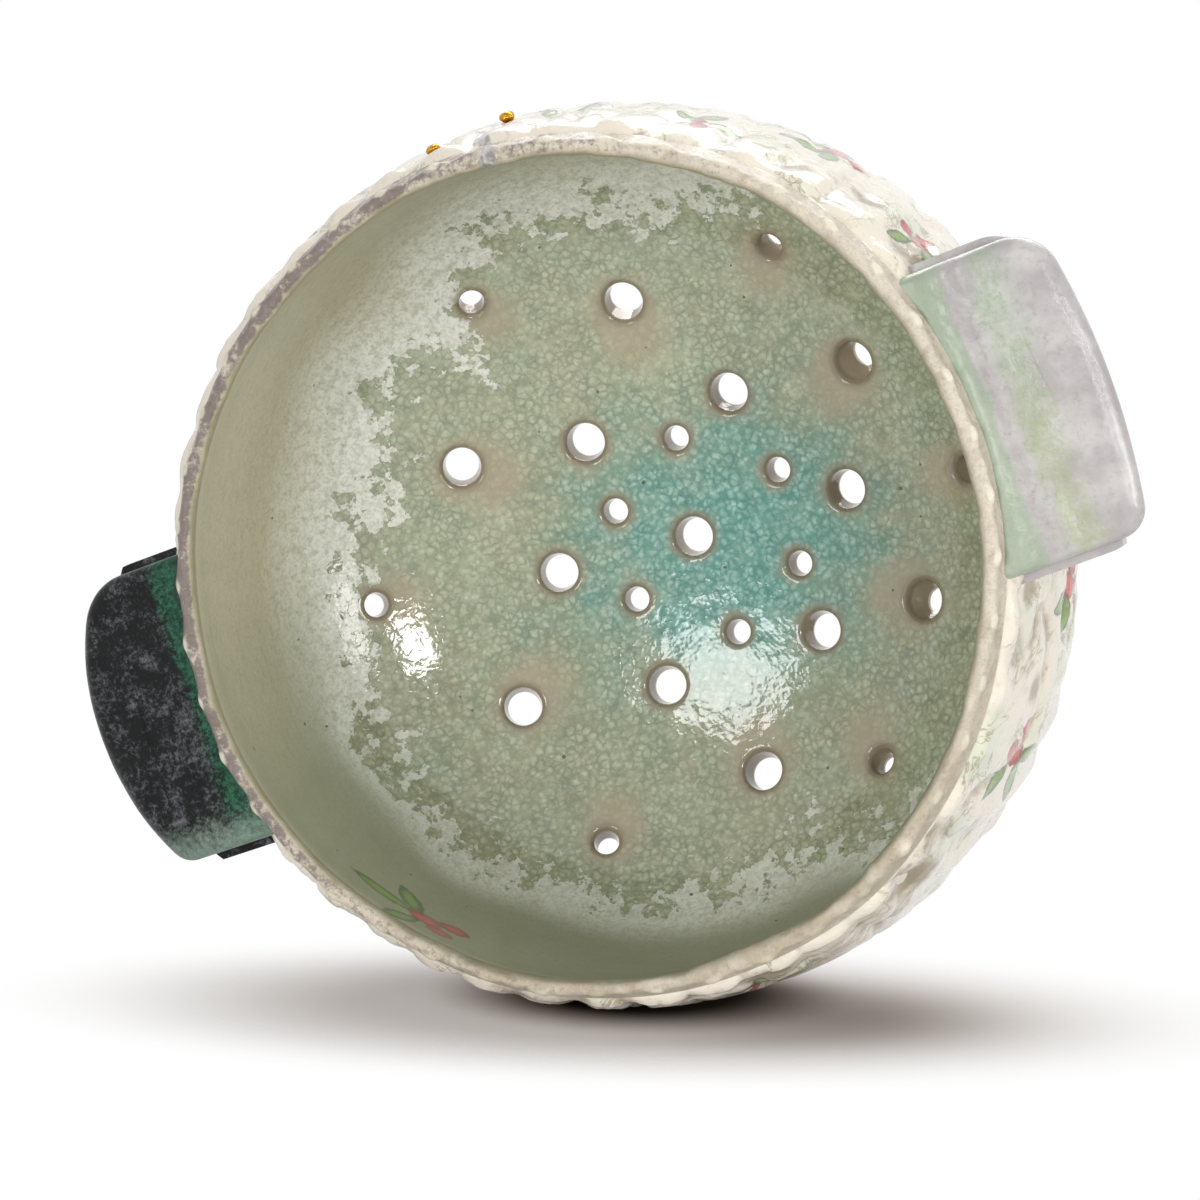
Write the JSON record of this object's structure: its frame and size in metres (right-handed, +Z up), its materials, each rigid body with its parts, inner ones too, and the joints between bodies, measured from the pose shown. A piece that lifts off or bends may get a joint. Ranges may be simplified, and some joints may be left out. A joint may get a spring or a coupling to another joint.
{
  "type": "berry bowl",
  "caption": "Deep handmade stoneware bowl with drain holes, coiled lip, wavy ribs, low foot ring, a pale slab handle and a dark slab handle.",
  "frame": {"origin": "centre of the foot ring's underside, on the bowl's axis, within 1.3 mm of the middle of the outer box's base, because the handles differ in reach", "axes": "+Z up along the bowl's axis, X through the two handles with the dark handle on +X and the pale handle on -X"},
  "size_m": [0.199, 0.1658, 0.086],
  "materials": {
    "celadon_glaze": "glossy crackled celadon glaze",
    "lip_glaze": "glossy cream glaze with brown stain",
    "foot_clay": "bare fired clay with glaze above",
    "cream_glaze": "glossy cream glaze, olive in the recesses",
    "lilac_glaze": "satin lilac grey glaze with sage mottling",
    "dark_glaze": "glossy near-black mottled glaze with emerald edge",
    "gold_lustre": "fired gold lustre"
  },
  "bodies": {
    "root": {"bowl_shell": "celadon_glaze", "rim_lip": "lip_glaze", "foot_ring": "foot_clay", "ribs_front": "cream_glaze", "ribs_back": "cream_glaze", "ribs_under_pale_handle": "cream_glaze", "ribs_under_dark_handle": "cream_glaze", "pale_handle": "lilac_glaze", "pale_handle_bracket": "lilac_glaze", "dark_handle": "dark_glaze", "dark_handle_bracket": "dark_glaze", "gilded_nubs": "gold_lustre"}
  },
  "joints": []
}
